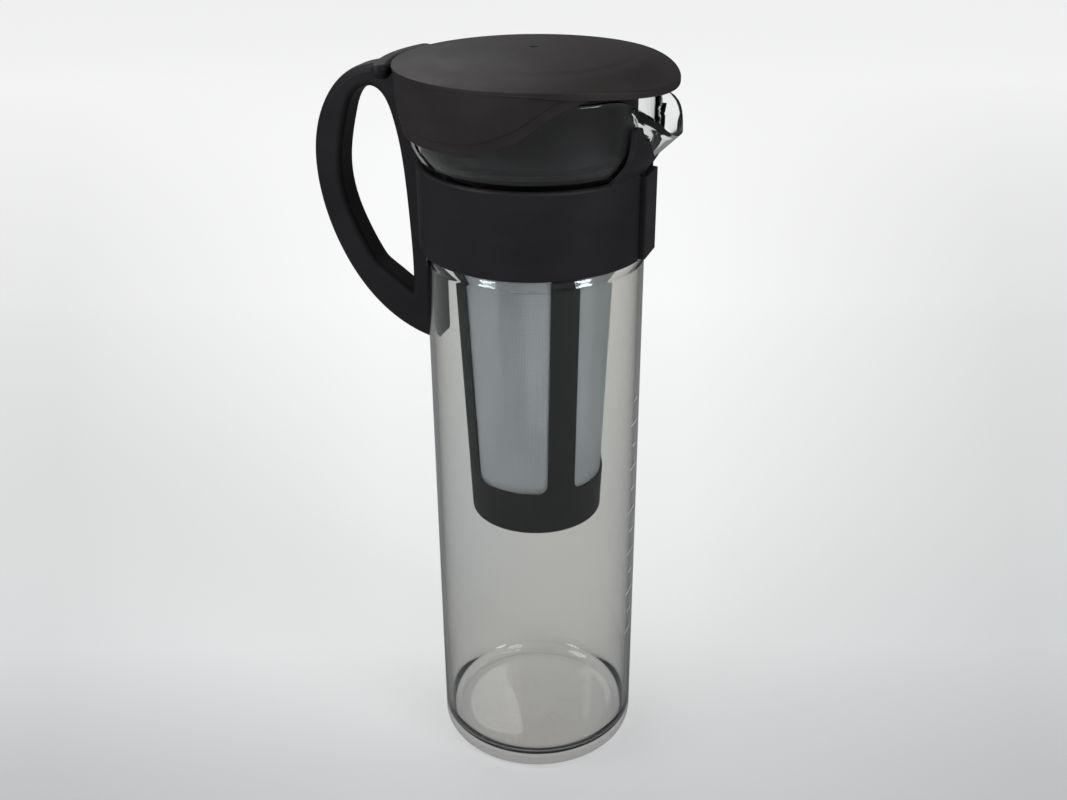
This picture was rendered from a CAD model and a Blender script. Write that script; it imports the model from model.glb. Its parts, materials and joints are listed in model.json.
"""Visual model of a cold brew coffee maker: a glass jug with collar and handle, a mesh strainer and a lid."""

import json
import logging
import math
from collections.abc import Callable, Iterable
from dataclasses import dataclass, field
from enum import Enum
from functools import partial

import bmesh
import bpy
from mathutils import Matrix, Vector

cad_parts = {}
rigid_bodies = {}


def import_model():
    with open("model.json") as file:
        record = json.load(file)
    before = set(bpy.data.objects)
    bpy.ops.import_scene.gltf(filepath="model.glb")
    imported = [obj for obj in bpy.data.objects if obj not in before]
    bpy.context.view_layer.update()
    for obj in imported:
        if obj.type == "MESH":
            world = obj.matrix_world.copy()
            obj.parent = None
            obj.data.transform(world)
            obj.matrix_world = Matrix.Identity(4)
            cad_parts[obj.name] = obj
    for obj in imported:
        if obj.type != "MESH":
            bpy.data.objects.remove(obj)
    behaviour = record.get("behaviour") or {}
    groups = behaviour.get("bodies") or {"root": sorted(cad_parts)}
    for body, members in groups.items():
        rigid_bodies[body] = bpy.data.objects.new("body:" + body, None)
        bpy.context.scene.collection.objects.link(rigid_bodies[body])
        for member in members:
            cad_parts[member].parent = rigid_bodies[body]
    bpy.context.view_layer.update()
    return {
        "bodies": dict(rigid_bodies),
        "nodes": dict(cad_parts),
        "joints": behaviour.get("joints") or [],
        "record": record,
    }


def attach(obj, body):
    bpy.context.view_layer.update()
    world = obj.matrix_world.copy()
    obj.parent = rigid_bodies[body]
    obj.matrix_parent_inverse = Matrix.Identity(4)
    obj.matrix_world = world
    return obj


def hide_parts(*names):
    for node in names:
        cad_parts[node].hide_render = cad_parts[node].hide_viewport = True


logging.basicConfig(level=logging.INFO, format="%(message)s")
log = logging.getLogger("scene")

MM = 0.001

Colour = tuple[float, float, float]
Triple = tuple[float, float, float]
Span = tuple[float, float]
Socket = bpy.types.NodeSocket
RingRow = Callable[[float], Span]

BLACK: Colour = (0.0, 0.0, 0.0)
WHITE: Colour = (1.0, 1.0, 1.0)
DAYLIGHT: Colour = (0.86, 0.94, 1.0)


class Slot(Enum):
    """Material slots of the record."""

    GLASS = "glass"
    HANDLE = "handle_plastic"
    LID = "lid_plastic"
    STRAINER = "strainer_plastic"
    MESH = "mesh"


# ---- Shapes --------------------------------------------------------------------------------------


def smoothstep(low: float, high: float, value: float) -> float:
    """Eased step.

    Args:
        low: Value at which the step starts.
        high: Value at which it ends.
        value: Where it is read.

    Returns:
        0 to 1.
    """
    t = min(1.0, max(0.0, (value - low) / (high - low)))
    return t * t * (3 - 2 * t)


def smooth_max(a: float, b: float, blend: float) -> float:
    """Larger of two numbers, rounded where they are close.

    Args:
        a: First number.
        b: Second number.
        blend: Width of the rounding.

    Returns:
        The rounded maximum.
    """
    h = max(blend - abs(a - b), 0.0) / blend
    return max(a, b) + h * h * h * blend / 6.0


def on_circle(radius: float, z: float, angle: float) -> Span:
    """Radius and height on a level circle, the same at every angle."""
    return radius, z


def level(value: float, z: float) -> float:
    """Value that is the same at every height."""
    return value


def new_mesh_object(name: str, bm: bmesh.types.BMesh) -> bpy.types.Object:
    """Makes an object of a bmesh, with outward normals and smooth faces.

    Args:
        name: Object name.
        bm: Its geometry, in millimetres, which is freed here.

    Returns:
        The linked object, in metres.
    """
    bmesh.ops.scale(bm, vec=(MM, MM, MM), verts=bm.verts)
    bmesh.ops.recalc_face_normals(bm, faces=bm.faces)
    mesh = bpy.data.meshes.new(name)
    bm.to_mesh(mesh)
    bm.free()
    for polygon in mesh.polygons:
        polygon.use_smooth = True
    piece = bpy.data.objects.new(name, mesh)
    bpy.context.scene.collection.objects.link(piece)
    return piece


def closed_skin(bm: bmesh.types.BMesh, rows: list[RingRow], columns: int) -> None:
    """Adds a skin round the Z axis, closed by a flat at each end.

    Args:
        bm: Geometry that it is added to.
        rows: Radius and height at an angle, row by row.
        columns: Number of columns.
    """
    angles = [2 * math.pi * k / columns for k in range(columns)]
    angles = [angle if angle <= math.pi else angle - 2 * math.pi for angle in angles]
    rings = []
    for row in rows:
        ring = []
        for angle in angles:
            radius, z = row(angle)
            ring.append(bm.verts.new((radius * math.cos(angle), radius * math.sin(angle), z)))
        rings.append(ring)
    for lower, upper in zip(rings, rings[1:]):
        for j in range(columns):
            k = (j + 1) % columns
            bm.faces.new((lower[j], lower[k], upper[k], upper[j]))
    bm.faces.new(rings[0])
    bm.faces.new(rings[-1])


def curved_patch(
    bm: bmesh.types.BMesh,
    heights: list[float],
    radius: Callable[[float], float],
    half_angle: Callable[[float], float],
    centre: float,
    depth: float,
    columns: int,
) -> dict[bmesh.types.BMVert, Span]:
    """Adds a closed sheet that bends round the Z axis.

    Args:
        bm: Geometry that it is added to.
        heights: Heights of its rows.
        radius: Outer radius at a height.
        half_angle: Half of the angle that it covers at a height, in radians.
        centre: Angle of its middle, in radians.
        depth: Thickness, inwards.
        columns: Faces across it.

    Returns:
        The angle and the height of each vertex.
    """
    places: dict[bmesh.types.BMVert, Span] = {}
    skins = []
    for inset in (0.0, depth):
        skin = []
        for z in heights:
            line = []
            for j in range(columns + 1):
                angle = centre + half_angle(z) * (2 * j / columns - 1)
                r = radius(z) - inset
                vert = bm.verts.new((r * math.cos(angle), r * math.sin(angle), z))
                places[vert] = (angle, z)
                line.append(vert)
            skin.append(line)
        skins.append(skin)
    outer, inner = skins
    last, top = columns, len(heights) - 1
    for i in range(top):
        for j in range(columns):
            bm.faces.new((outer[i][j], outer[i][j + 1], outer[i + 1][j + 1], outer[i + 1][j]))
            bm.faces.new((inner[i][j], inner[i + 1][j], inner[i + 1][j + 1], inner[i][j + 1]))
        bm.faces.new((outer[i][0], outer[i + 1][0], inner[i + 1][0], inner[i][0]))
        bm.faces.new((outer[i][last], inner[i][last], inner[i + 1][last], outer[i + 1][last]))
    for j in range(columns):
        bm.faces.new((outer[0][j], inner[0][j], inner[0][j + 1], outer[0][j + 1]))
        bm.faces.new((outer[top][j], outer[top][j + 1], inner[top][j + 1], inner[top][j]))
    return places


@dataclass(frozen=True)
class Repeater:
    """Geometry node tree that repeats a pattern round the Z axis or along it.

    Attributes:
        name: Tree name.
        count: How many times the pattern is there.
        turn: Angle from one to the next, in radians.
        rise: Height from one to the next, in metres.
    """

    name: str
    count: int
    turn: float = 0.0
    rise: float = 0.0

    def tree(self, pattern: bpy.types.Object, material: bpy.types.Material) -> bpy.types.NodeTree:
        """Builds the node tree.

        Args:
            pattern: Object that is repeated.
            material: Finish of the result.

        Returns:
            The tree, with Count, Turn and Rise as its inputs.
        """
        tree = bpy.data.node_groups.new(self.name, "GeometryNodeTree")
        inputs = (("Count", "NodeSocketInt"), ("Turn", "NodeSocketFloat"), ("Rise", "NodeSocketFloat"))
        for label, kind in inputs:
            tree.interface.new_socket(label, in_out="INPUT", socket_type=kind)
        tree.interface.new_socket("Geometry", in_out="OUTPUT", socket_type="NodeSocketGeometry")
        nodes, links = tree.nodes, tree.links
        start = nodes.new("NodeGroupInput")
        end = nodes.new("NodeGroupOutput")
        step = nodes.new("ShaderNodeCombineXYZ")
        links.new(start.outputs["Rise"], step.inputs["Z"])
        line = nodes.new("GeometryNodeMeshLine")
        links.new(start.outputs["Count"], line.inputs["Count"])
        links.new(step.outputs[0], line.inputs["Offset"])
        angle = nodes.new("ShaderNodeMath")
        angle.operation = "MULTIPLY"
        links.new(nodes.new("GeometryNodeInputIndex").outputs[0], angle.inputs[0])
        links.new(start.outputs["Turn"], angle.inputs[1])
        spin = nodes.new("ShaderNodeCombineXYZ")
        links.new(angle.outputs[0], spin.inputs["Z"])
        source = nodes.new("GeometryNodeObjectInfo")
        source.inputs["Object"].default_value = pattern
        repeat = nodes.new("GeometryNodeInstanceOnPoints")
        links.new(line.outputs["Mesh"], repeat.inputs["Points"])
        links.new(source.outputs["Geometry"], repeat.inputs["Instance"])
        links.new(spin.outputs[0], repeat.inputs["Rotation"])
        real = nodes.new("GeometryNodeRealizeInstances")
        links.new(repeat.outputs[0], real.inputs[0])
        paint = nodes.new("GeometryNodeSetMaterial")
        paint.inputs["Material"].default_value = material
        links.new(real.outputs[0], paint.inputs["Geometry"])
        links.new(paint.outputs["Geometry"], end.inputs["Geometry"])
        return tree

    def make(self, pattern: bpy.types.Object, material: bpy.types.Material, name: str) -> bpy.types.Object:
        """Repeats the pattern and turns the result into a plain mesh.

        Args:
            pattern: Object that is repeated, which is removed here.
            material: Finish of the result.
            name: Name of the new object.

        Returns:
            The new object.
        """
        carrier = bpy.data.objects.new("carrier", bpy.data.meshes.new("carrier"))
        bpy.context.scene.collection.objects.link(carrier)
        modifier = carrier.modifiers.new(self.name, "NODES")
        modifier.node_group = self.tree(pattern, material)
        values = {"Count": self.count, "Turn": self.turn, "Rise": self.rise}
        for item in modifier.node_group.interface.items_tree:
            if item.in_out == "INPUT":
                modifier[item.identifier] = values[item.name]
        bpy.context.view_layer.update()
        evaluated = carrier.evaluated_get(bpy.context.evaluated_depsgraph_get())
        mesh = bpy.data.meshes.new_from_object(evaluated)
        mesh.name = name
        bpy.data.objects.remove(carrier)
        bpy.data.objects.remove(pattern)
        made = bpy.data.objects.new(name, mesh)
        bpy.context.scene.collection.objects.link(made)
        return made


# ---- Finishes ------------------------------------------------------------------------------------


@dataclass(frozen=True)
class Noise:
    """Cloudy pattern in object coordinates.

    Attributes:
        scale: Cells to the metre where the stretch is 1.
        detail: Octaves.
        roughness: Weight of the finer octaves.
        stretch: Factor on the number of cells along x, y and z, where it is drawn out.
    """

    scale: float
    detail: float = 2.0
    roughness: float = 0.5
    stretch: Triple | None = None


class NodeTree:
    """Short hand for building the nodes of a material or a world."""

    def __init__(self, owner: bpy.types.Material | bpy.types.World) -> None:
        """Starts with nothing but the output.

        Args:
            owner: What the nodes are for.
        """
        self.owner = owner
        owner.use_nodes = True
        self.tree = owner.node_tree
        self.tree.nodes.clear()
        is_world = isinstance(owner, bpy.types.World)
        self.output = self.node("OutputWorld" if is_world else "OutputMaterial")
        self.coords = self.node("TexCoord").outputs["Object"]

    @classmethod
    def of_material(cls, name: str) -> "NodeTree":
        """Starts a new material.

        Args:
            name: Material name.

        Returns:
            Its nodes.
        """
        return cls(bpy.data.materials.new(name))

    def node(self, kind: str, **settings: object) -> bpy.types.Node:
        """Adds a node.

        Args:
            kind: Its type, without the ShaderNode in front.
            **settings: Properties, or input values where the name is an input's.

        Returns:
            The node.
        """
        made = self.tree.nodes.new("ShaderNode" + kind)
        for key, value in settings.items():
            label = key.replace("_", " ")
            if label in made.inputs:
                made.inputs[label].default_value = value
            else:
                setattr(made, key, value)
        return made

    def link(self, source: Socket, target: Socket) -> None:
        """Joins two sockets.

        Args:
            source: Output socket.
            target: Input socket.
        """
        self.tree.links.new(source, target)

    def noise(self, pattern: Noise) -> Socket:
        """Adds a noise.

        Args:
            pattern: Its scale, detail, roughness and stretch.

        Returns:
            Its value socket.
        """
        source = self.coords
        if pattern.stretch is not None:
            mapping = self.node("Mapping", Scale=pattern.stretch)
            self.link(self.coords, mapping.inputs["Vector"])
            source = mapping.outputs["Vector"]
        made = self.node("TexNoise", Scale=pattern.scale, Detail=pattern.detail, Roughness=pattern.roughness)
        self.link(source, made.inputs["Vector"])
        return made.outputs["Fac"]

    def ramp(self, value: Socket, start: Span, result: Span = (0.0, 1.0)) -> Socket:
        """Maps a range of a value to another.

        Args:
            value: Socket that is mapped.
            start: The value's range.
            result: What the two ends of that range become.

        Returns:
            The result's socket.
        """
        made = self.node("MapRange")
        self.link(value, made.inputs["Value"])
        for key, number in zip(("From Min", "From Max", "To Min", "To Max"), (*start, *result)):
            made.inputs[key].default_value = number
        return made.outputs["Result"]

    def mix_colour(self, factor: Socket, a: Colour | Socket, b: Colour | Socket) -> Socket:
        """Mixes two colours.

        Args:
            factor: Share of the second.
            a: First colour, as numbers or a socket.
            b: Second colour, as numbers or a socket.

        Returns:
            The mixed colour's socket.
        """
        made = self.node("Mix", data_type="RGBA")
        colour_inputs = [socket for socket in made.inputs if socket.type == "RGBA"]
        self.link(factor, made.inputs[0])
        for target, colour in zip(colour_inputs, (a, b)):
            if isinstance(colour, Socket):
                self.link(colour, target)
            else:
                target.default_value = (*colour, 1.0)
        return next(socket for socket in made.outputs if socket.type == "RGBA")

    def combine(self, operation: str, a: Socket, b: Socket | float = 0.0) -> Socket:
        """Does sums with one value or two.

        Args:
            operation: Name of the sum, as Blender's Math node has it.
            a: First value's socket.
            b: Second value's socket, or a number.

        Returns:
            The result's socket.
        """
        made = self.node("Math", operation=operation)
        self.link(a, made.inputs[0])
        if isinstance(b, Socket):
            self.link(b, made.inputs[1])
        else:
            made.inputs[1].default_value = b
        return made.outputs[0]

    def dot(self, direction: Triple) -> Socket:
        """Adds the distance from the origin along a direction.

        Args:
            direction: The direction, of length 1.

        Returns:
            The distance's socket.
        """
        made = self.node("VectorMath", operation="DOT_PRODUCT")
        self.link(self.coords, made.inputs[0])
        made.inputs[1].default_value = direction
        return made.outputs["Value"]

    def relief(self, height: Socket, strength: float, depth: float, normal: Socket | None = None) -> Socket:
        """Adds a bump.

        Args:
            height: Socket that the relief follows.
            strength: Share of the relief that shows.
            depth: Its depth, in metres.
            normal: Normal that it starts from, where it isn't the surface's own.

        Returns:
            The new normal's socket.
        """
        made = self.node("Bump", Strength=strength, Distance=depth)
        self.link(height, made.inputs["Height"])
        if normal is not None:
            self.link(normal, made.inputs["Normal"])
        return made.outputs["Normal"]

    def finished(self, surface: Socket) -> bpy.types.Material | bpy.types.World:
        """Joins the shader to the output.

        Args:
            surface: The shader's socket.

        Returns:
            What the nodes are for.
        """
        self.link(surface, self.output.inputs["Surface"])
        return self.owner


@dataclass(frozen=True)
class PlasticFinish:
    """Moulded plastic with a fine spark-eroded grain, faint flow marks and edges rubbed paler.

    Attributes:
        name: Material name.
        colour: Main colour.
        worn: Colour of the paler clouds.
        rubbed: Colour of rubbed edges and of dust.
        roughness: Mean roughness.
        gloss: Specular level.
        edge_radius: Width that counts as an edge, in metres.
        edge_samples: Rays that look for an edge.
        edge_turn: Cosine of the edge's turn where the rubbing starts and where it is full.
        edge_span: Range of the clouds that leaves the rubbing out in places.
        edge_least: Share of the rubbing that is left there.
        edge_polish: How much smoother a rubbed edge is.
        even: Range of the clouds and flow marks from one colour to the other.
        flow_least: Share of the clouds between the flow marks.
        speck_span: Range of the dust in which specks show.
        speck_strength: Share of the specks' colour.
        cloud_span: Range of the clouds that changes the roughness.
        cloud_roughness: What the clouds add to the roughness.
        flow_roughness: What the flow marks add to it.
    """

    name: str
    colour: Colour
    worn: Colour
    rubbed: Colour
    roughness: float
    gloss: float
    ior: float = 1.49
    clouds: Noise = Noise(38.0, detail=3.0)
    dust: Noise = Noise(850.0, detail=3.0, roughness=0.65)
    flow_marks: Noise = Noise(60.0, detail=3.0, stretch=(1.0, 1.0, 4.0))
    grain: Noise = Noise(2600.0, roughness=0.6)
    grain_strength: float = 0.10
    grain_depth: float = 0.00012
    edge_radius: float = 0.0004
    edge_samples: int = 4
    edge_turn: Span = (0.99, 0.86)
    edge_span: Span = (0.38, 0.62)
    edge_least: float = 0.25
    edge_polish: float = 0.08
    even: Span = (0.3, 0.7)
    flow_least: float = 0.5
    speck_span: Span = (0.66, 0.78)
    speck_strength: float = 0.55
    cloud_span: Span = (0.25, 0.75)
    cloud_roughness: Span = (-0.06, 0.05)
    flow_roughness: Span = (-0.03, 0.04)

    def build(self) -> bpy.types.Material:
        """Makes the material.

        Returns:
            The material.
        """
        nodes = NodeTree.of_material(self.name)
        cloud = nodes.noise(self.clouds)
        dust = nodes.noise(self.dust)
        flow = nodes.noise(self.flow_marks)
        grain = nodes.noise(self.grain)
        rounded = nodes.node("Bevel", samples=self.edge_samples, Radius=self.edge_radius)
        facing = nodes.node("VectorMath", operation="DOT_PRODUCT")
        nodes.link(rounded.outputs["Normal"], facing.inputs[0])
        nodes.link(nodes.node("NewGeometry").outputs["Normal"], facing.inputs[1])
        edge = nodes.ramp(facing.outputs["Value"], self.edge_turn)
        edge = nodes.combine("MULTIPLY", edge, nodes.ramp(cloud, self.edge_span, (self.edge_least, 1.0)))
        shader = nodes.node("BsdfPrincipled", IOR=self.ior, Specular_IOR_Level=self.gloss)
        shade = nodes.ramp(flow, self.even, (self.flow_least, 1.0))
        shade = nodes.combine("MULTIPLY", nodes.ramp(cloud, self.even), shade)
        body = nodes.mix_colour(shade, self.colour, self.worn)
        speck = nodes.ramp(dust, self.speck_span, (0.0, self.speck_strength))
        body = nodes.mix_colour(speck, body, self.rubbed)
        nodes.link(nodes.mix_colour(edge, body, self.rubbed), shader.inputs["Base Color"])
        smoothest, roughest = self.cloud_roughness
        rough = nodes.ramp(cloud, self.cloud_span, (self.roughness + smoothest, self.roughness + roughest))
        rough = nodes.combine("ADD", rough, nodes.ramp(flow, self.even, self.flow_roughness))
        polish = nodes.ramp(edge, (0.0, 1.0), (0.0, self.edge_polish))
        nodes.link(nodes.combine("SUBTRACT", rough, polish), shader.inputs["Roughness"])
        normal = nodes.relief(grain, self.grain_strength, self.grain_depth, rounded.outputs["Normal"])
        nodes.link(normal, shader.inputs["Normal"])
        return nodes.finished(shader.outputs["BSDF"])


@dataclass(frozen=True)
class GlassFinish:
    """Lightly smoky blown glass, clearer at the lip, with a slow waviness and a few wiped smears.

    Attributes:
        name: Material name.
        colour: Tint of the wall.
        warm: Its warmer tint in slow patches.
        clear: Tint at the lip.
        clearing: Heights from the wall's tint to the lip's, in metres.
        tone_span: Range of the tones from one tint to the other.
        smear_span: Range of the smears in which they show.
        smear_roughness: Roughness of a smear.
    """

    name: str
    colour: Colour
    warm: Colour
    clear: Colour
    clearing: Span = (0.246, 0.268)
    ior: float = 1.47
    tones: Noise = Noise(14.0, stretch=(1.0, 1.0, 0.35))
    tone_span: Span = (0.35, 0.65)
    smears: Noise = Noise(45.0, detail=4.0, stretch=(1.0, 1.0, 0.3))
    smear_span: Span = (0.55, 0.75)
    smear_roughness: float = 0.035
    waves: Noise = Noise(24.0, detail=1.0, stretch=(1.0, 1.0, 0.5))
    wave_strength: float = 0.05
    wave_depth: float = 0.0006

    def build(self) -> bpy.types.Material:
        """Makes the material.

        Returns:
            The material.
        """
        nodes = NodeTree.of_material(self.name)
        shader = nodes.node("BsdfPrincipled", IOR=self.ior, Transmission_Weight=1.0)
        tone = nodes.ramp(nodes.noise(self.tones), self.tone_span)
        place = nodes.node("SeparateXYZ")
        nodes.link(nodes.coords, place.inputs["Vector"])
        lip = nodes.ramp(place.outputs["Z"], self.clearing)
        body = nodes.mix_colour(tone, self.colour, self.warm)
        nodes.link(nodes.mix_colour(lip, body, self.clear), shader.inputs["Base Color"])
        smear = nodes.ramp(nodes.noise(self.smears), self.smear_span, (0.0, self.smear_roughness))
        nodes.link(smear, shader.inputs["Roughness"])
        normal = nodes.relief(nodes.noise(self.waves), self.wave_strength, self.wave_depth)
        nodes.link(normal, shader.inputs["Normal"])
        return nodes.finished(shader.outputs["BSDF"])


@dataclass(frozen=True)
class WovenMeshFinish:
    """Fine nylon weave, slightly see-through, drawn on the piece's own UV in millimetres.

    Attributes:
        name: Material name.
        thread: Colour of a thread.
        gap: Colour between the threads and of stains.
        pitch: Distance between threads, in millimetres.
        thread_edge: Range of the waves from gap to thread.
        stain_span: Range of the stains in which they show.
        stain_strength: Share of the stains' colour.
        roughness: Roughness of gap and thread.
        cover: How solid gap and thread are.
    """

    name: str
    thread: Colour
    gap: Colour
    pitch: float = 0.55
    thread_edge: Span = (-0.6, 0.5)
    stains: Noise = Noise(26.0, detail=3.0, stretch=(1.0, 1.0, 0.4))
    stain_span: Span = (0.35, 0.7)
    stain_strength: float = 0.45
    roughness: Span = (0.75, 0.5)
    cover: Span = (0.25, 0.60)
    relief_strength: float = 0.35
    relief_depth: float = 0.0001

    def build(self) -> bpy.types.Material:
        """Makes the material.

        Returns:
            The material.
        """
        nodes = NodeTree.of_material(self.name)
        uv = nodes.node("UVMap", uv_map="weave")
        split = nodes.node("SeparateXYZ")
        nodes.link(uv.outputs["UV"], split.inputs["Vector"])
        waves = []
        for axis in ("X", "Y"):
            wave = nodes.combine("MULTIPLY", split.outputs[axis], 2 * math.pi / self.pitch)
            waves.append(nodes.combine("SINE", wave))
        threads = nodes.ramp(nodes.combine("MAXIMUM", *waves), self.thread_edge)
        stain = nodes.ramp(nodes.noise(self.stains), self.stain_span, (0.0, self.stain_strength))
        stained = nodes.mix_colour(stain, self.thread, self.gap)
        shader = nodes.node("BsdfPrincipled")
        nodes.link(nodes.mix_colour(threads, self.gap, stained), shader.inputs["Base Color"])
        nodes.link(nodes.ramp(threads, (0.0, 1.0), self.roughness), shader.inputs["Roughness"])
        nodes.link(nodes.ramp(threads, (0.0, 1.0), self.cover), shader.inputs["Alpha"])
        normal = nodes.relief(threads, self.relief_strength, self.relief_depth)
        nodes.link(normal, shader.inputs["Normal"])
        return nodes.finished(shader.outputs["BSDF"])


@dataclass(frozen=True)
class PrintFinish:
    """Grey enamel print, thinner in places.

    Attributes:
        name: Material name.
        colour: Colour of the full print.
        faded: Colour where it is worn.
        wear_span: Range of the wear from full to faded.
        roughness: Roughness of full and faded print.
    """

    name: str
    colour: Colour
    faded: Colour
    wear: Noise = Noise(420.0, detail=4.0)
    wear_span: Span = (0.35, 0.65)
    roughness: Span = (0.35, 0.6)

    def build(self) -> bpy.types.Material:
        """Makes the material.

        Returns:
            The material.
        """
        nodes = NodeTree.of_material(self.name)
        wear = nodes.ramp(nodes.noise(self.wear), self.wear_span)
        shader = nodes.node("BsdfPrincipled")
        nodes.link(nodes.mix_colour(wear, self.colour, self.faded), shader.inputs["Base Color"])
        nodes.link(nodes.ramp(wear, (0.0, 1.0), self.roughness), shader.inputs["Roughness"])
        return nodes.finished(shader.outputs["BSDF"])


# ---- Glass jug -----------------------------------------------------------------------------------


@dataclass
class GlassJug:
    """Jug of clear glass with a flared mouth, a rounded lip and a beak at +X. Millimetres.

    Attributes:
        shoulder: Heights between which the body narrows to the neck.
        shoulder_margin: How far the close rows go past the shoulder.
        flare: Heights between which the neck widens to the mouth.
        flare_lead: How far under the flare the mouth's rows start.
        rim: Height of the lip away from the beak.
        beak_foot: Height at which the beak leaves the wall.
        beak_foot_reach: How far it reaches out there.
        beak_foot_radius: Its radius there.
        beak_slope: How far it goes out for each millimetre that it rises.
        beak_widening: What its radius gains for each millimetre that it rises.
        beak_dip: How much lower the lip is over the beak.
        beak_blend: Width of the rounding between beak and wall.
        lip_spread: Angle over which the lip rises again, in degrees.
        lip_steepness: Power of that rise.
        body_heights: Heights of the rows on the straight wall.
        neck_height: Height of the row on the neck.
        columns: Columns round the jug.
        flat_rings: Rings in the flats of base and floor.
    """

    body_radius: float = 41.5
    neck_radius: float = 40.3
    mouth_radius: float = 45.6
    wall: float = 2.0
    floor: float = 4.2
    base_corner: float = 5.0
    floor_corner: float = 9.0
    shoulder: Span = (219.6, 223.6)
    shoulder_margin: float = 0.3
    flare: Span = (252.0, 267.0)
    flare_lead: float = 8.0
    rim: float = 285.9
    beak_foot: float = 259.0
    beak_foot_reach: float = 43.2
    beak_foot_radius: float = 5.0
    beak_slope: float = 1.042
    beak_widening: float = 0.586
    beak_dip: float = 14.7
    beak_blend: float = 3.0
    lip_spread: float = 19.6
    lip_steepness: float = 2.8
    body_heights: tuple[float, ...] = (60.0, 130.0, 200.0)
    neck_height: float = 234.0
    columns: int = 224
    flat_rings: int = 4
    corner_steps: int = 8
    shoulder_steps: int = 12
    mouth_steps: int = 34
    lip_steps: int = 6

    def ring(self, z: float, inset: float) -> float:
        """Radius of the round wall.

        Args:
            z: Height.
            inset: How far inside the outer skin.

        Returns:
            The radius.
        """
        narrowing = (self.body_radius - self.neck_radius) * smoothstep(*self.shoulder, z)
        widening = (self.mouth_radius - self.neck_radius) * smoothstep(*self.flare, z)
        return self.body_radius - narrowing + widening - inset

    def beak(self, z: float, angle: float, inset: float) -> float:
        """Radius of the leaning cone that makes the beak.

        Args:
            z: Height.
            angle: Angle from +X, in radians.
            inset: How far inside the outer skin.

        Returns:
            The radius, or 0 where the cone isn't met.
        """
        rise = z - self.beak_foot
        radius = self.beak_foot_radius + self.beak_widening * rise
        centre = self.beak_foot_reach + self.beak_slope * rise - radius
        radius -= math.hypot(1, self.beak_slope) * inset
        under = radius * radius - (centre * math.sin(angle)) ** 2
        if radius <= 0 or under <= 0 or math.cos(angle) < 0:
            return 0.0
        return centre * math.cos(angle) + math.sqrt(under)

    def skin(self, z: float, angle: float, inset: float) -> float:
        """Radius of the glass's skin.

        Args:
            z: Height.
            angle: Angle from +X, in radians.
            inset: How far inside the outer skin.

        Returns:
            The radius.
        """
        return smooth_max(self.ring(z, inset), self.beak(z, angle, inset), self.beak_blend)

    def lip_middle(self, angle: float) -> float:
        """Height of the middle of the rounded lip.

        Args:
            angle: Angle from +X, in radians.

        Returns:
            The height.
        """
        degrees = abs(math.degrees(angle))
        fade = math.exp(-((degrees / self.lip_spread) ** self.lip_steepness))
        return self.rim - self.beak_dip * fade - 0.5 * self.wall

    def mouth_foot(self) -> float:
        """Height at which the rows of the mouth start."""
        return self.flare[0] - self.flare_lead

    def in_mouth(self, step: int, inset: float, angle: float) -> Span:
        """Radius and height on a row of the mouth.

        Args:
            step: Number of the row, from the mouth's foot.
            inset: How far inside the outer skin.
            angle: Angle from +X, in radians.

        Returns:
            The radius and the height.
        """
        foot = self.mouth_foot()
        z = foot + (self.lip_middle(angle) - foot) * step / self.mouth_steps
        return self.skin(z, angle, inset), z

    def on_lip(self, turn: float, angle: float) -> Span:
        """Radius and height on the rounded lip.

        Args:
            turn: Angle over the lip, from 0 outside to pi inside.
            angle: Angle from +X, in radians.

        Returns:
            The radius and the height.
        """
        top = self.lip_middle(angle)
        outside = self.skin(top, angle, 0.0)
        inside = self.skin(top, angle, self.wall)
        middle = (outside + inside) / 2
        radius = middle + (outside - inside) / 2 * math.cos(turn)
        return radius, top + 0.5 * self.wall * math.sin(turn)

    def corner(self, flat: float, size: float, height: float, steps: Iterable[int]) -> list[RingRow]:
        """Rows of the rounded corner between a flat and the wall.

        Args:
            flat: Radius of the flat.
            size: Radius of the corner.
            height: Height of the flat.
            steps: Numbers of its rows, from 0 at the flat.

        Returns:
            The rows.
        """
        turns = [math.pi / 2 * k / self.corner_steps for k in steps]
        return [
            partial(on_circle, flat + size * math.sin(turn), height + size * (1 - math.cos(turn)))
            for turn in turns
        ]

    def wall_heights(self) -> list[float]:
        """Heights of the round rows between corner and mouth.

        Returns:
            The heights, upwards.
        """
        low, high = self.shoulder
        start = low - self.shoulder_margin
        length = high - low + 2 * self.shoulder_margin
        shoulder = [start + length * k / self.shoulder_steps for k in range(self.shoulder_steps + 1)]
        return [*self.body_heights, *shoulder, self.neck_height, self.mouth_foot()]

    def rows(self) -> list[RingRow]:
        """Rows from the middle of the base, up outside, over the lip and down to the middle of the floor.

        Returns:
            The rows.
        """
        base = self.body_radius - self.base_corner
        floor = self.body_radius - self.wall - self.floor_corner
        heights = self.wall_heights()
        rings, corner, mouth = self.flat_rings, self.corner_steps, self.mouth_steps
        rows = [partial(on_circle, base * k / rings, 0.0) for k in range(1, rings + 1)]
        rows += self.corner(base, self.base_corner, 0.0, range(1, corner + 1))
        rows += [partial(on_circle, self.ring(z, 0.0), z) for z in heights]
        rows += [partial(self.in_mouth, step, 0.0) for step in range(1, mouth + 1)]
        rows += [partial(self.on_lip, math.pi * k / self.lip_steps) for k in range(1, self.lip_steps)]
        rows += [partial(self.in_mouth, step, self.wall) for step in range(mouth, 0, -1)]
        rows += [partial(on_circle, self.ring(z, self.wall), z) for z in reversed(heights)]
        rows += self.corner(floor, self.floor_corner, self.floor, range(corner, -1, -1))
        rows += [partial(on_circle, floor * k / rings, self.floor) for k in range(rings - 1, 0, -1)]
        return rows

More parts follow.
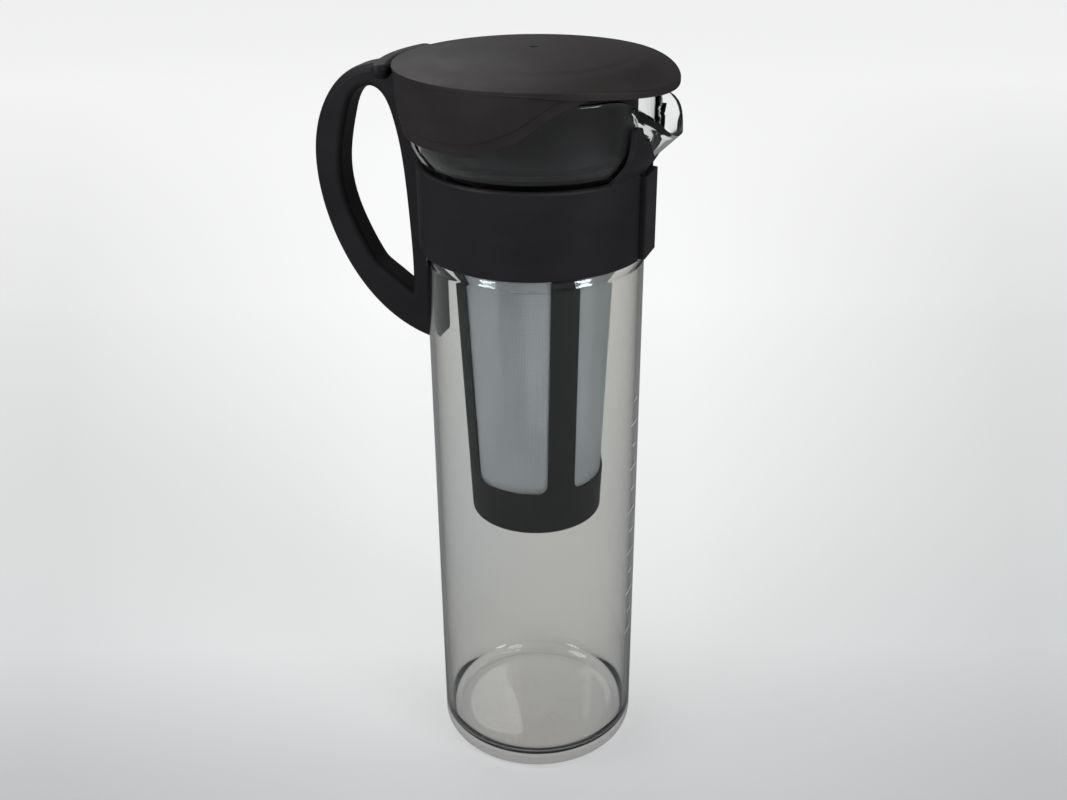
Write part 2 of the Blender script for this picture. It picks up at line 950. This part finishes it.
    def build(self, material: bpy.types.Material) -> bpy.types.Object:
        """Makes the jug.

        Args:
            material: Its finish.

        Returns:
            The piece.
        """
        bm = bmesh.new()
        closed_skin(bm, self.rows(), self.columns)
        piece = new_mesh_object("glass_jug_shell", bm)
        piece.data.materials.append(material)
        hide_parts("glass_jug")
        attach(piece, "jug")
        log.info("glass jug: %d faces", len(piece.data.polygons))
        return piece


@dataclass
class LevelMarks:
    """Plain filling lines fired on the outside of the glass under the beak. Millimetres.

    Attributes:
        radius: Radius of their outside.
        depth: Thickness of the print.
        lowest: Height of the first line.
        pitch: Height from one long line to the next.
        pairs: Pairs of a long line and a short one.
        long_width: Length of a long line.
        short_width: Length of a short line.
        line: Height of a line.
        columns: Faces along a line.
    """

    radius: float = 41.53
    depth: float = 0.06
    lowest: float = 54.0
    pitch: float = 20.0
    pairs: int = 6
    long_width: float = 9.0
    short_width: float = 4.5
    line: float = 0.5
    columns: int = 8

    def build(self, material: bpy.types.Material) -> bpy.types.Object:
        """Makes the lines.

        Args:
            material: Their finish.

        Returns:
            The piece.
        """
        bm = bmesh.new()
        pair = ((self.lowest, self.long_width), (self.lowest + self.pitch / 2, self.short_width))
        for bottom, width in pair:
            half = width / 2 / self.radius
            heights = [bottom, bottom + self.line]
            radius, half_angle = partial(level, self.radius), partial(level, half)
            curved_patch(bm, heights, radius, half_angle, 0.0, self.depth, self.columns)
        pattern = new_mesh_object("mark_pair", bm)
        column = Repeater("mark_column", self.pairs, rise=self.pitch * MM)
        piece = column.make(pattern, material, "level_marks")
        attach(piece, "jug")
        log.info("level marks: %d faces", len(piece.data.polygons))
        return piece


# ---- Strainer mesh -------------------------------------------------------------------------------


@dataclass
class MeshScreen:
    """One curved panel of mesh, repeated round the cage. Millimetres and degrees.

    Attributes:
        bottom: Height of the windows' lower edge.
        top: Height of their upper edge.
        foot: Height and outer radius of the cage at its foot.
        head: Height and outer radius of the cage at its head.
        inset: How far the mesh is inside the cage's outside.
        thickness: Thickness of the mesh.
        rib_width: Width of a rib.
        play: Gap between mesh and rib.
        windows: Number of windows.
        turned: Angle from +X to the middle of the first window.
    """

    bottom: float = 128.9
    top: float = 239.9
    foot: Span = (110.6, 26.5)
    head: Span = (254.0, 32.6)
    inset: float = 0.9
    thickness: float = 0.3
    rib_width: float = 10.9
    play: float = 0.05
    windows: int = 4
    turned: float = -3.5
    rows: int = 24
    columns: int = 18

    def radius(self, z: float) -> float:
        """Radius of the mesh.

        Args:
            z: Height.

        Returns:
            The radius.
        """
        share = (z - self.foot[0]) / (self.head[0] - self.foot[0])
        return self.foot[1] + (self.head[1] - self.foot[1]) * share - self.inset

    def half_angle(self, z: float) -> float:
        """Half of the angle between two ribs.

        Args:
            z: Height.

        Returns:
            The angle, in radians.
        """
        return math.pi / self.windows - math.asin((self.rib_width / 2 + self.play) / self.radius(z))

    def panel(self) -> bpy.types.Object:
        """Makes the panel nearest to +X, with its weave's coordinates in millimetres.

        Returns:
            The panel.
        """
        bm = bmesh.new()
        weave = bm.loops.layers.uv.new("weave")
        heights = [self.bottom + (self.top - self.bottom) * i / self.rows for i in range(self.rows + 1)]
        centre = math.radians(self.turned)
        places = curved_patch(
            bm, heights, self.radius, self.half_angle, centre, self.thickness, self.columns
        )
        middle = self.radius((self.bottom + self.top) / 2)
        for face in bm.faces:
            for loop in face.loops:
                angle, z = places[loop.vert]
                loop[weave].uv = (angle * middle, z)
        return new_mesh_object("mesh_panel_pattern", bm)

    def build(self, material: bpy.types.Material) -> bpy.types.Object:
        """Makes the screen.

        Args:
            material: Its finish.

        Returns:
            The piece.
        """
        ring = Repeater("mesh_ring", self.windows, turn=2 * math.pi / self.windows)
        piece = ring.make(self.panel(), material, "mesh_screen")
        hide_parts(*(f"mesh_panel_{k + 1}" for k in range(self.windows)))
        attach(piece, "strainer")
        log.info("mesh screen: %d faces", len(piece.data.polygons))
        return piece


# ---- Lid -----------------------------------------------------------------------------------------


@dataclass
class DroopingLid:
    """The lid's solid with its brim eased down over the beak. Millimetres and degrees.

    Attributes:
        inner: Radius at which the brim starts to go down, outside the strainer's ring.
        outer: Radius at which it is lowest.
        fall: How far it goes down over the beak.
        narrowness: How fast the fall fades away from the beak.
        underside: Height under which nothing moves.
        longest_edge: Longest edge left in the brim.
        rounds: How often longer edges are cut in half.
        sharp: Angle from which an edge stays sharp.
        weld: Distance at which the solid's loose corners are joined.
    """

    inner: float = 39.2
    outer: float = 50.7
    fall: float = 3.6
    narrowness: float = 4.0
    underside: float = 288.6
    longest_edge: float = 2.5
    rounds: int = 3
    sharp: float = 32.0
    weld: float = 0.001

    def drop(self, place: Vector) -> float:
        """How far a point of the lid goes down.

        Args:
            place: The point.

        Returns:
            The distance.
        """
        radius = math.hypot(place.x, place.y)
        if place.x <= 0 or place.z < self.underside:
            return 0.0
        share = smoothstep(self.inner, self.outer, radius)
        return self.fall * share * (place.x / radius) ** self.narrowness

    def refine(self, bm: bmesh.types.BMesh) -> None:
        """Cuts the long edges of the brim.

        Args:
            bm: The lid's geometry.
        """
        for _ in range(self.rounds):
            moved = {vert for vert in bm.verts if self.drop(vert.co) > 0}
            long_edges = [edge for edge in bm.edges if edge.calc_length() > self.longest_edge]
            cut = [edge for edge in long_edges if any(vert in moved for vert in edge.verts)]
            bmesh.ops.subdivide_edges(bm, edges=cut, cuts=1)
            bmesh.ops.triangulate(bm, faces=bm.faces)

    def build(self, solid: bpy.types.Object, material: bpy.types.Material) -> bpy.types.Object:
        """Makes the lid.

        Args:
            solid: The lid's CAD node.
            material: Its finish.

        Returns:
            The piece.
        """
        bm = bmesh.new()
        bm.from_mesh(solid.data)
        bmesh.ops.scale(bm, vec=(1 / MM, 1 / MM, 1 / MM), verts=bm.verts)
        bmesh.ops.remove_doubles(bm, verts=bm.verts, dist=self.weld)
        self.refine(bm)
        for edge in bm.edges:
            joined = len(edge.link_faces) == 2
            edge.smooth = joined and edge.calc_face_angle() < math.radians(self.sharp)
        for vert in bm.verts:
            vert.co.z -= self.drop(vert.co)
        piece = new_mesh_object("lid_moulding", bm)
        piece.data.materials.append(material)
        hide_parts("lid")
        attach(piece, "lid")
        log.info("lid: %d faces", len(piece.data.polygons))
        return piece


# ---- Studio --------------------------------------------------------------------------------------


@dataclass(frozen=True)
class Lamp:
    """Soft oval lamp that faces the object's axis.

    Attributes:
        name: Lamp name.
        place: Where it hangs, in metres.
        size: Its width and height, in metres.
        power: Watts.
        aim: Height on the axis that it faces, in metres.
        colour: Its light's colour.
    """

    name: str
    place: Triple
    size: Span
    power: float
    aim: float
    colour: Colour = WHITE

    def build(self) -> None:
        """Hangs the lamp."""
        data = bpy.data.lights.new(self.name, "AREA")
        data.shape = "ELLIPSE"
        data.size, data.size_y = self.size
        data.energy = self.power
        data.color = self.colour
        lamp = bpy.data.objects.new(self.name, data)
        bpy.context.scene.collection.objects.link(lamp)
        lamp.location = self.place
        way = Vector((0.0, 0.0, self.aim)) - Vector(self.place)
        lamp.rotation_euler = way.to_track_quat("-Z", "Y").to_euler()


@dataclass
class Studio:
    """Camera, floor, room and lamps. Metres and degrees.

    Attributes:
        distance: Level distance of the camera from the object's axis.
        height: Height of the camera.
        azimuth: Side that it looks from.
        yaw: How far it looks past the axis.
        pitch: How far it looks down.
        roll: How far it leans.
        lens: Focal length, in millimetres.
        sensor: Sensor width, in millimetres.
        nearest: Nearest distance that it sees.
        floor_half: Half of the floor's side, in millimetres.
        floor_colour: Colour of the floor in the lamps' light.
        floor_glow: Share of the floor's own brightness where it is seen directly.
        floor_tones: Distance behind the axis and brightness there, from front to back.
        floor_reach: Distance in front of the axis at which the floor's sides meet.
        floor_sides: Share of the reach at which the sides start and end, and their brightness.
        floor_evens_out: Distances between which the sides brighten to the middle's tone.
        floor_in_gloss: Share of the floor that glossy surfaces mirror.
        foot_light: Distances from the axis between which the bright patch under the jug fades.
        foot_brightness: Brightness of that patch.
        through_mirrors: Share of the white backdrop that is left after a mirroring.
        room_colour: Colour of the room's light.
        room_light: Strength of the room's light.
        room_in_gloss: Strength of the room in glossy surfaces.
        lamps: The lamps.
    """

    distance: float = 0.45018
    height: float = 0.38186
    azimuth: float = 20.0
    yaw: float = 0.124
    pitch: float = 26.53
    roll: float = -0.4
    lens: float = 42.0
    sensor: float = 36.0
    nearest: float = 0.01
    floor_half: float = 9000.0
    floor_colour: Colour = (0.80, 0.80, 0.80)
    floor_glow: float = 0.75
    floor_tones: tuple[Span, ...] = (
        (-0.12, 0.32),
        (-0.04, 0.48),
        (0.045, 0.74),
        (0.12, 0.77),
        (0.5, 0.97),
        (1.0, 1.0),
    )
    floor_reach: float = 0.7
    floor_sides: Triple = (0.10, 0.32, 0.76)
    floor_evens_out: Span = (0.45, 1.3)
    floor_in_gloss: float = 0.34
    foot_light: Span = (0.030, 0.045)
    foot_brightness: float = 0.3
    through_mirrors: float = 0.35
    room_colour: Colour = (0.97, 0.98, 1.0)
    room_light: float = 0.55
    room_in_gloss: float = 0.22
    lamps: tuple[Lamp, ...] = (
        Lamp("key", (-0.75, -0.5, 1.2), (0.5, 0.5), power=8.0, aim=0.18),
        Lamp("fill", (0.85, -0.55, 1.15), (0.5, 0.5), power=5.0, aim=0.15),
        Lamp("back", (-0.75, 0.75, 1.0), (0.9, 0.5), power=3.6, aim=0.15),
        Lamp("left_window", (-0.5, -0.87, 0.48), (0.34, 0.22), power=4.0, aim=0.22, colour=DAYLIGHT),
        Lamp("right_window", (0.94, -0.34, 0.48), (0.34, 0.22), power=5.0, aim=0.22, colour=DAYLIGHT),
    )

    def camera(self) -> None:
        """Places the camera."""
        data = bpy.data.cameras.new("camera")
        data.lens = self.lens
        data.sensor_width = self.sensor
        data.clip_start = self.nearest
        camera = bpy.data.objects.new("camera", data)
        bpy.context.scene.collection.objects.link(camera)
        turn = math.radians(self.azimuth)
        place = Vector((self.distance * math.sin(turn), -self.distance * math.cos(turn), self.height))
        heading = math.radians(90 + self.azimuth + self.yaw)
        pitch = math.radians(self.pitch)
        level = math.cos(pitch)
        forward = Vector((math.cos(heading) * level, math.sin(heading) * level, -math.sin(pitch)))
        right = Vector((math.sin(heading), -math.cos(heading), 0.0))
        up = right.cross(forward)
        tilt = math.radians(-self.roll)
        side = right * math.cos(tilt) - up * math.sin(tilt)
        top = up * math.cos(tilt) + right * math.sin(tilt)
        basis = Matrix((side, top, -forward)).transposed()
        camera.matrix_world = Matrix.Translation(place) @ basis.to_4x4()
        bpy.context.scene.camera = camera

    def seen_directly(self, nodes: NodeTree) -> Socket:
        """Adds a mask of the rays that come from the eye, also through glass.

        Args:
            nodes: Where the mask is added.

        Returns:
            1 for those rays, less after a mirroring, 0 for the light that the surroundings give.
        """
        rays = nodes.node("LightPath")
        seen = nodes.combine("MAXIMUM", rays.outputs["Is Camera Ray"], rays.outputs["Is Transmission Ray"])
        first = nodes.ramp(rays.outputs["Diffuse Depth"], (0.0, 1.0), (1.0, 0.0))
        seen = nodes.combine("MULTIPLY", seen, first)
        mirrored = nodes.ramp(rays.outputs["Glossy Depth"], (0.0, 1.0), (1.0, self.through_mirrors))
        return nodes.combine("MULTIPLY", seen, mirrored)

    def floor_tone(self, nodes: NodeTree) -> Socket:
        """Adds the floor's own brightness, darker in front and at the sides.

        Args:
            nodes: Where it is added.

        Returns:
            The brightness's socket.
        """
        turn = math.radians(self.azimuth)
        along = nodes.dot((-math.sin(turn), math.cos(turn), 0.0))
        across = nodes.combine("ABSOLUTE", nodes.dot((math.cos(turn), math.sin(turn), 0.0)))
        front, back = self.floor_tones[0][0], self.floor_tones[-1][0]
        tones = nodes.node("ValToRGB")
        nodes.link(nodes.ramp(along, (front, back)), tones.inputs["Fac"])
        stops = tones.color_ramp.elements
        while len(stops) < len(self.floor_tones):
            stops.new(0.5)
        for stop, (place, tone) in zip(stops, self.floor_tones):
            stop.position = (place - front) / (back - front)
            stop.color = (tone, tone, tone, 1.0)
        spread = nodes.combine("DIVIDE", across, nodes.combine("ADD", along, self.floor_reach))
        inner, outer, brightness = self.floor_sides
        sides = nodes.ramp(spread, (inner, outer), (0.0, 1.0 - brightness))
        sides = nodes.combine("MULTIPLY", sides, nodes.ramp(along, self.floor_evens_out, (1.0, 0.0)))
        shade = nodes.mix_colour(sides, tones.outputs["Color"], BLACK)
        middle = nodes.node("VectorMath", operation="LENGTH")
        nodes.link(nodes.coords, middle.inputs[0])
        foot = nodes.ramp(middle.outputs["Value"], self.foot_light, (self.foot_brightness, 0.0))
        return nodes.mix_colour(foot, shade, WHITE)

    def floor(self) -> None:
        """Makes the floor, which keeps the object's shadow."""
        bm = bmesh.new()
        bmesh.ops.create_grid(bm, x_segments=1, y_segments=1, size=self.floor_half)
        floor = new_mesh_object("floor", bm)
        nodes = NodeTree.of_material("floor_paper")
        paper = nodes.node("BsdfDiffuse", Color=(*self.floor_colour, 1.0))
        glow = nodes.node("Emission")
        nodes.link(self.floor_tone(nodes), glow.inputs["Color"])
        shown = nodes.node("MixShader")
        share = nodes.combine("MULTIPLY", self.seen_directly(nodes), self.floor_glow)
        nodes.link(share, shown.inputs[0])
        nodes.link(paper.outputs[0], shown.inputs[1])
        nodes.link(glow.outputs[0], shown.inputs[2])
        mirrored = nodes.node("LightPath").outputs["Glossy Depth"]
        dimmed = nodes.node("MixShader")
        dark = nodes.node("BsdfDiffuse", Color=(*BLACK, 1.0))
        nodes.link(nodes.ramp(mirrored, (0.0, 1.0), (0.0, 1 - self.floor_in_gloss)), dimmed.inputs[0])
        nodes.link(shown.outputs[0], dimmed.inputs[1])
        nodes.link(dark.outputs[0], dimmed.inputs[2])
        floor.data.materials.append(nodes.finished(dimmed.outputs[0]))

    def room(self) -> None:
        """Makes the even room, which looks white to the camera and lights the object softly."""
        nodes = NodeTree(bpy.data.worlds.new("room"))
        white = nodes.node("Background", Color=(*WHITE, 1.0))
        soft = nodes.node("Background", Color=(*self.room_colour, 1.0))
        mirrored = nodes.node("LightPath").outputs["Glossy Depth"]
        strength = nodes.ramp(mirrored, (0.0, 1.0), (self.room_light, self.room_in_gloss))
        nodes.link(strength, soft.inputs["Strength"])
        shown = nodes.node("MixShader")
        nodes.link(self.seen_directly(nodes), shown.inputs[0])
        nodes.link(soft.outputs[0], shown.inputs[1])
        nodes.link(white.outputs[0], shown.inputs[2])
        bpy.context.scene.world = nodes.finished(shown.outputs[0])

    def build(self) -> None:
        """Makes the studio."""
        self.camera()
        self.floor()
        self.room()
        for lamp in self.lamps:
            lamp.build()
        bpy.context.scene.view_settings.view_transform = "Standard"
        log.info("studio: camera, floor, room and %d lamps", len(self.lamps))


# ---- Whole object --------------------------------------------------------------------------------


@dataclass
class CoffeeMaker:
    """The whole object.

    Attributes:
    """

    frame: dict
    handle_finish: PlasticFinish = PlasticFinish(
        Slot.HANDLE.value,
        colour=(0.0072, 0.0060, 0.0070),
        worn=(0.0105, 0.0090, 0.0100),
        rubbed=(0.022, 0.019, 0.020),
        roughness=0.48,
        gloss=0.14,
    )
    lid_finish: PlasticFinish = PlasticFinish(
        Slot.LID.value,
        colour=(0.0120, 0.0092, 0.0092),
        worn=(0.0180, 0.0140, 0.0138),
        rubbed=(0.050, 0.042, 0.040),
        roughness=0.54,
        gloss=0.17,
    )
    strainer_finish: PlasticFinish = PlasticFinish(
        Slot.STRAINER.value,
        colour=(0.0060, 0.0050, 0.0054),
        worn=(0.0090, 0.0076, 0.0082),
        rubbed=(0.016, 0.014, 0.015),
        roughness=0.48,
        gloss=0.2,
    )
    glass_finish: GlassFinish = GlassFinish(
        Slot.GLASS.value,
        colour=(0.730, 0.742, 0.735),
        warm=(0.755, 0.745, 0.720),
        clear=(0.93, 0.94, 0.935),
    )
    mesh_finish: WovenMeshFinish = WovenMeshFinish(
        Slot.MESH.value, thread=(0.80, 0.83, 0.86), gap=(0.56, 0.58, 0.60)
    )
    enamel: PrintFinish = PrintFinish("enamel", colour=(0.30, 0.30, 0.29), faded=(0.42, 0.42, 0.41))
    jug: GlassJug = field(default_factory=GlassJug)
    marks: LevelMarks = field(default_factory=LevelMarks)
    lid: DroopingLid = field(default_factory=DroopingLid)
    screen: MeshScreen = field(default_factory=MeshScreen)

    def paint(self, node: str, material: bpy.types.Material) -> None:
        """Gives a CAD node its finish.

        Args:
            node: Node name.
            material: Finish.
        """
        mesh = self.frame["nodes"][node].data
        mesh.materials.clear()
        mesh.materials.append(material)
        log.info("%s: finished in %s", node, material.name)

    def build(self) -> None:
        """Makes every piece."""
        handle = self.handle_finish.build()
        self.paint("handle_collar", handle)
        self.paint("collar_lock", handle)
        self.lid.build(self.frame["nodes"]["lid"], self.lid_finish.build())
        self.paint("strainer_frame", self.strainer_finish.build())
        self.jug.build(self.glass_finish.build())
        self.marks.build(self.enamel.build())
        self.screen.build(self.mesh_finish.build())


def main() -> None:
    """Builds the scene."""
    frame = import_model()
    CoffeeMaker(frame).build()
    Studio().build()


if __name__ == "__main__":
    main()
